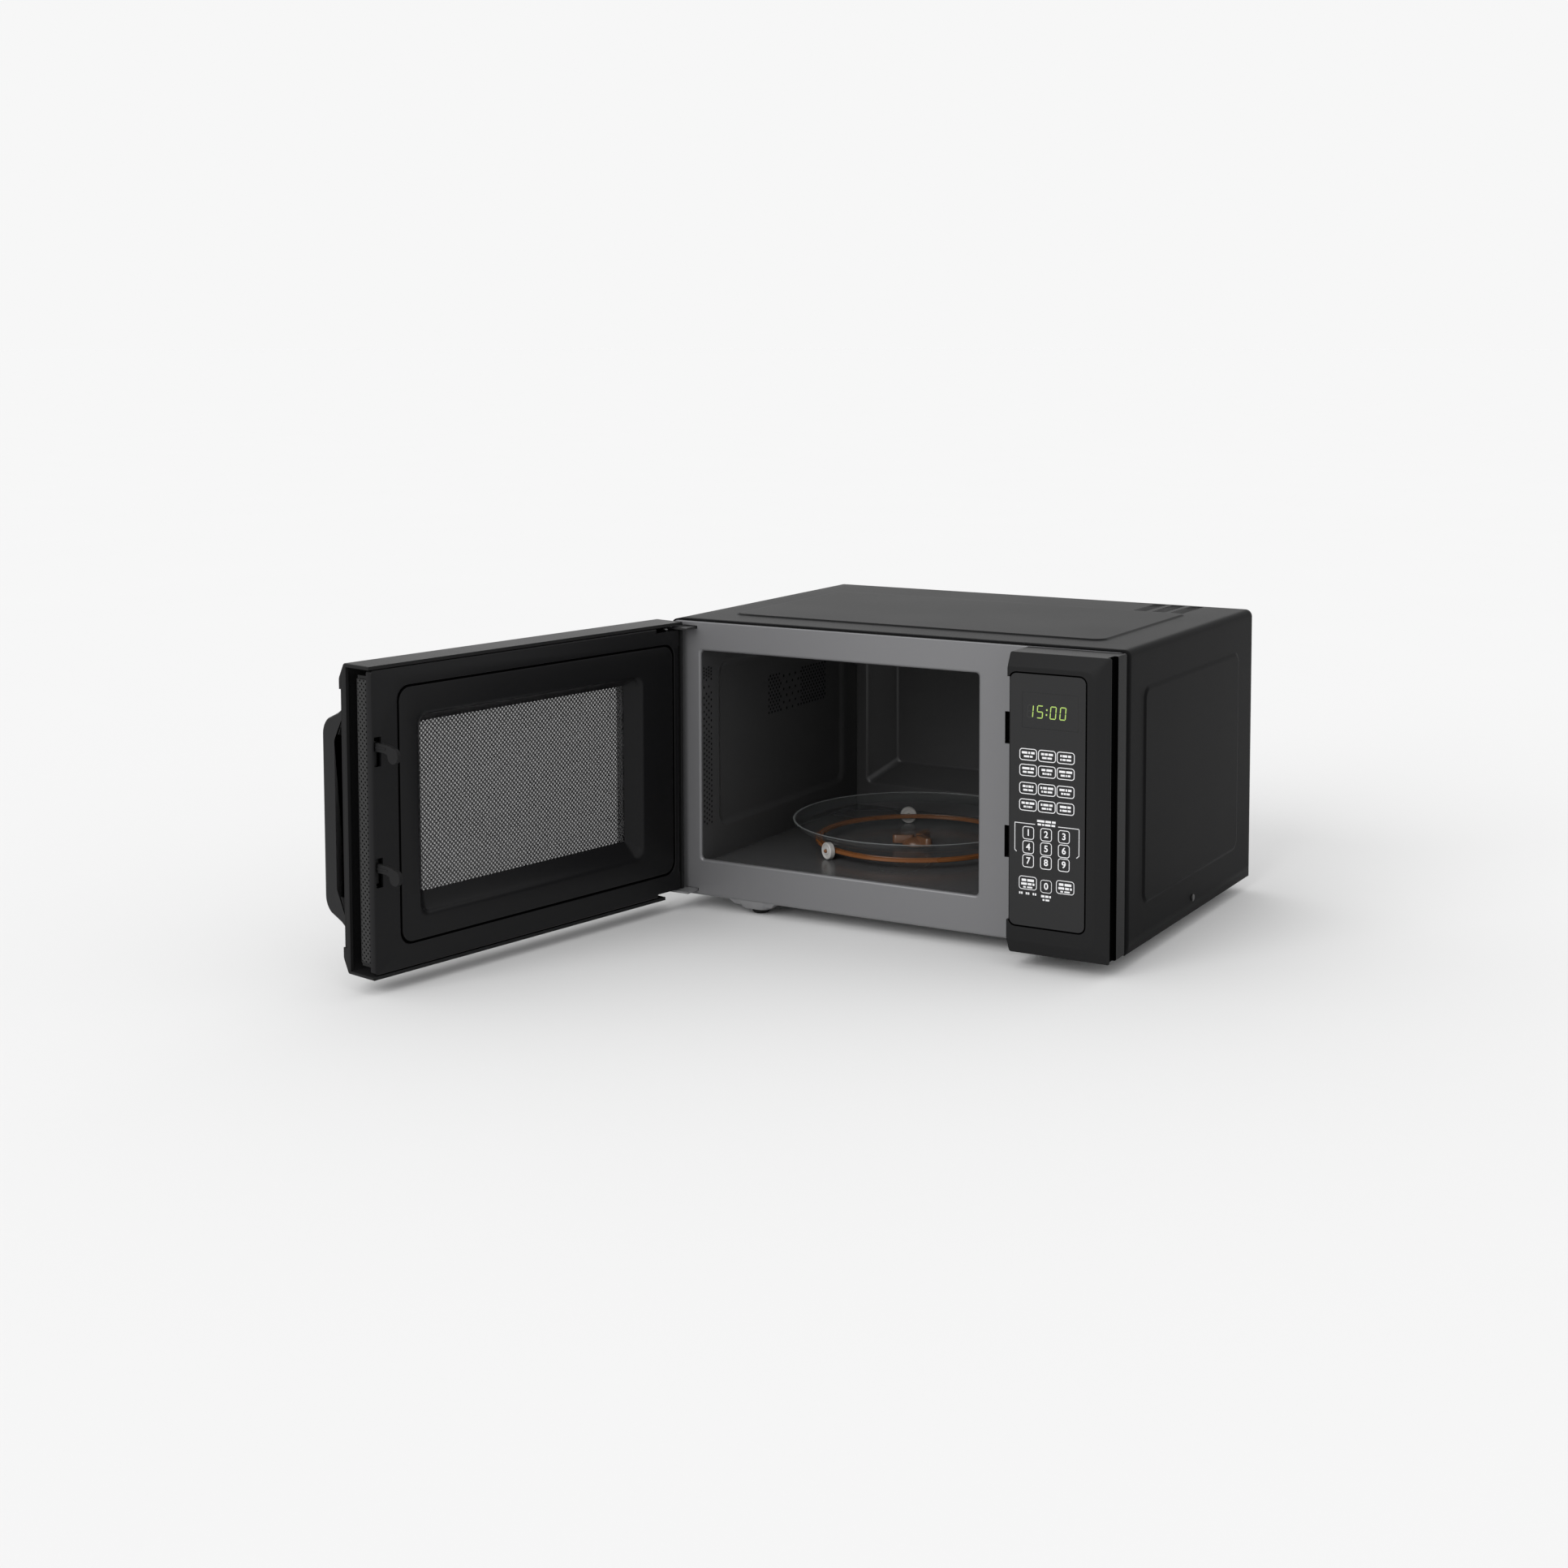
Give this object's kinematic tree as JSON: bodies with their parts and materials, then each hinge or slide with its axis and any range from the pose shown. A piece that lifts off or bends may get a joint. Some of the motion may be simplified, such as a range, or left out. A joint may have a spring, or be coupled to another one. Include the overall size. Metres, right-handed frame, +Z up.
{
  "type": "microwave oven",
  "caption": "Countertop microwave oven with its side-hinged door open, keypad panel, glass turntable tray on a roller ring, double door latch and the works inside.",
  "frame": {"origin": "middle of the box round the whole object with its door open, at the level that the feet stand on", "axes": "+X to the right seen from the front, +Y into the depth so that the front faces -Y, +Z up"},
  "size_m": [0.615, 0.7344, 0.2905],
  "materials": {
    "back_plate": "satin",
    "base_plate": "satin",
    "cavity": "satin",
    "choke_cover": "satin",
    "control_board": "matte",
    "control_panel": "satin",
    "cord_gland": "matte",
    "cover_screw_1": "satin",
    "cover_screw_2": "satin",
    "cover_screw_3": "satin",
    "cover_screw_side": "satin",
    "display_window": "polished",
    "door_glass": "polished",
    "door_handle": "satin",
    "door_panel": "satin",
    "door_shell": "satin",
    "fan_blade": "matte",
    "fan_motor": "satin",
    "fan_shroud": "matte",
    "foot_front_left": "matte",
    "foot_front_right": "matte",
    "foot_rear_left": "matte",
    "foot_rear_right": "matte",
    "front_frame": "satin",
    "glass_tray": "polished",
    "handle_screw_lower": "satin",
    "handle_screw_upper": "satin",
    "high_voltage_capacitor": "satin",
    "high_voltage_diode": "matte",
    "high_voltage_transformer": "satin",
    "keypad_membrane": "satin",
    "latch_board": "matte",
    "latch_hook": "matte",
    "latch_spring": "satin",
    "led_display": "satin",
    "lower_hinge": "satin",
    "magnetron": "satin",
    "monitor_plunger": "matte",
    "monitor_switch": "matte",
    "noise_filter_board": "matte",
    "outer_cover": "satin",
    "oven_lamp": "polished",
    "primary_plunger": "matte",
    "primary_switch": "matte",
    "roller_ring": "matte",
    "roller_wheel_1": "matte",
    "roller_wheel_2": "matte",
    "roller_wheel_3": "matte",
    "secondary_plunger": "matte",
    "secondary_switch": "matte",
    "thermal_cutout": "matte",
    "turntable_coupler": "matte",
    "turntable_motor": "satin",
    "upper_hinge": "satin",
    "waveguide": "satin",
    "waveguide_cover": "matte",
    "window_film": "polished"
  },
  "bodies": {
    "cabinet": {"outer_cover": "outer_cover", "base_plate": "base_plate", "back_plate": "back_plate", "front_frame": "front_frame", "cavity": "cavity", "waveguide": "waveguide", "waveguide_cover": "waveguide_cover", "magnetron": "magnetron", "high_voltage_transformer": "high_voltage_transformer", "high_voltage_capacitor": "high_voltage_capacitor", "high_voltage_diode": "high_voltage_diode", "fan_shroud": "fan_shroud", "fan_motor": "fan_motor", "oven_lamp": "oven_lamp", "thermal_cutout": "thermal_cutout", "noise_filter_board": "noise_filter_board", "latch_board": "latch_board", "primary_switch": "primary_switch", "secondary_switch": "secondary_switch", "monitor_switch": "monitor_switch", "turntable_motor": "turntable_motor", "control_panel": "control_panel", "keypad_membrane": "keypad_membrane", "display_window": "display_window", "control_board": "control_board", "led_display": "led_display", "lower_hinge": "lower_hinge", "upper_hinge": "upper_hinge", "foot_front_left": "foot_front_left", "foot_front_right": "foot_front_right", "foot_rear_left": "foot_rear_left", "foot_rear_right": "foot_rear_right", "cover_screw_1": "cover_screw_1", "cover_screw_2": "cover_screw_2", "cover_screw_3": "cover_screw_3", "cover_screw_side": "cover_screw_side", "cord_gland": "cord_gland"},
    "door": {"door_shell": "door_shell", "door_glass": "door_glass", "door_panel": "door_panel", "choke_cover": "choke_cover", "window_film": "window_film", "latch_spring": "latch_spring", "door_handle": "door_handle", "handle_screw_lower": "handle_screw_lower", "handle_screw_upper": "handle_screw_upper"},
    "latch": {"latch_hook": "latch_hook"},
    "coupler": {"turntable_coupler": "turntable_coupler"},
    "tray": {"glass_tray": "glass_tray"},
    "ring": {"roller_ring": "roller_ring"},
    "wheel_1": {"roller_wheel_1": "roller_wheel_1"},
    "wheel_2": {"roller_wheel_2": "roller_wheel_2"},
    "wheel_3": {"roller_wheel_3": "roller_wheel_3"},
    "primary_push": {"primary_plunger": "primary_plunger"},
    "secondary_push": {"secondary_plunger": "secondary_plunger"},
    "monitor_push": {"monitor_plunger": "monitor_plunger"},
    "fan": {"fan_blade": "fan_blade"}
  },
  "joints": [
    {"name": "door_hinge", "type": "hinge", "parent": "cabinet", "child": "door", "pos_m": [-0.17272, 0.00748, 0], "axis": [0, 0, 1], "range_deg": [-5.2, 100.8]},
    {"name": "latch_slide", "type": "slide", "parent": "door", "child": "latch", "axis": [0, 0, 1], "range_m": [0, 0.004], "stiffness_N_per_m": 600, "springref_m": -0.004, "deforming": ["latch_spring"]},
    {"name": "turntable_spin", "type": "hinge", "parent": "cabinet", "child": "coupler", "pos_m": [0.00678, 0.19148, 0.0548], "axis": [0, 0, 1], "continuous": true},
    {"name": "tray_lift", "type": "slide", "parent": "coupler", "child": "tray", "axis": [0, 0, 1], "range_m": [0, 0.03]},
    {"name": "roller_ring_spin", "type": "hinge", "parent": "cabinet", "child": "ring", "pos_m": [0.00678, 0.19148, 0.0548], "axis": [0, 0, 1], "continuous": true},
    {"name": "roller_wheel_1_spin", "type": "hinge", "parent": "ring", "child": "wheel_1", "pos_m": [0.11471, 0.19525, 0.0548], "axis": [0.9994, 0.0349, 0], "continuous": true},
    {"name": "roller_wheel_2_spin", "type": "hinge", "parent": "ring", "child": "wheel_2", "pos_m": [-0.05045, 0.28307, 0.0548], "axis": [-0.5299, 0.848, 0], "continuous": true},
    {"name": "roller_wheel_3_spin", "type": "hinge", "parent": "ring", "child": "wheel_3", "pos_m": [-0.04392, 0.09612, 0.0548], "axis": [-0.4695, -0.8829, 0], "continuous": true},
    {"name": "primary_plunger_slide", "type": "slide", "parent": "cabinet", "child": "primary_push", "axis": [0, 1, 0], "range_m": [0, 0.001], "stiffness_N_per_m": 300, "springref_m": -0.0005},
    {"name": "secondary_plunger_slide", "type": "slide", "parent": "cabinet", "child": "secondary_push", "axis": [0, 1, 0], "range_m": [0, 0.001], "stiffness_N_per_m": 300, "springref_m": -0.0005},
    {"name": "monitor_plunger_slide", "type": "slide", "parent": "cabinet", "child": "monitor_push", "axis": [0, 1, 0], "range_m": [0, 0.001], "stiffness_N_per_m": 300, "springref_m": -0.0005},
    {"name": "fan_spin", "type": "hinge", "parent": "cabinet", "child": "fan", "pos_m": [0.23128, 0.29548, 0.172], "axis": [0, 1, 0], "continuous": true}
  ],
  "couplings": [
    {"joint": "roller_ring_spin", "follows": "turntable_spin", "ratio": 0.5},
    {"joint": "roller_wheel_1_spin", "follows": "turntable_spin", "ratio": -6.3529},
    {"joint": "roller_wheel_2_spin", "follows": "turntable_spin", "ratio": -6.3529},
    {"joint": "roller_wheel_3_spin", "follows": "turntable_spin", "ratio": -6.3529}
  ]
}
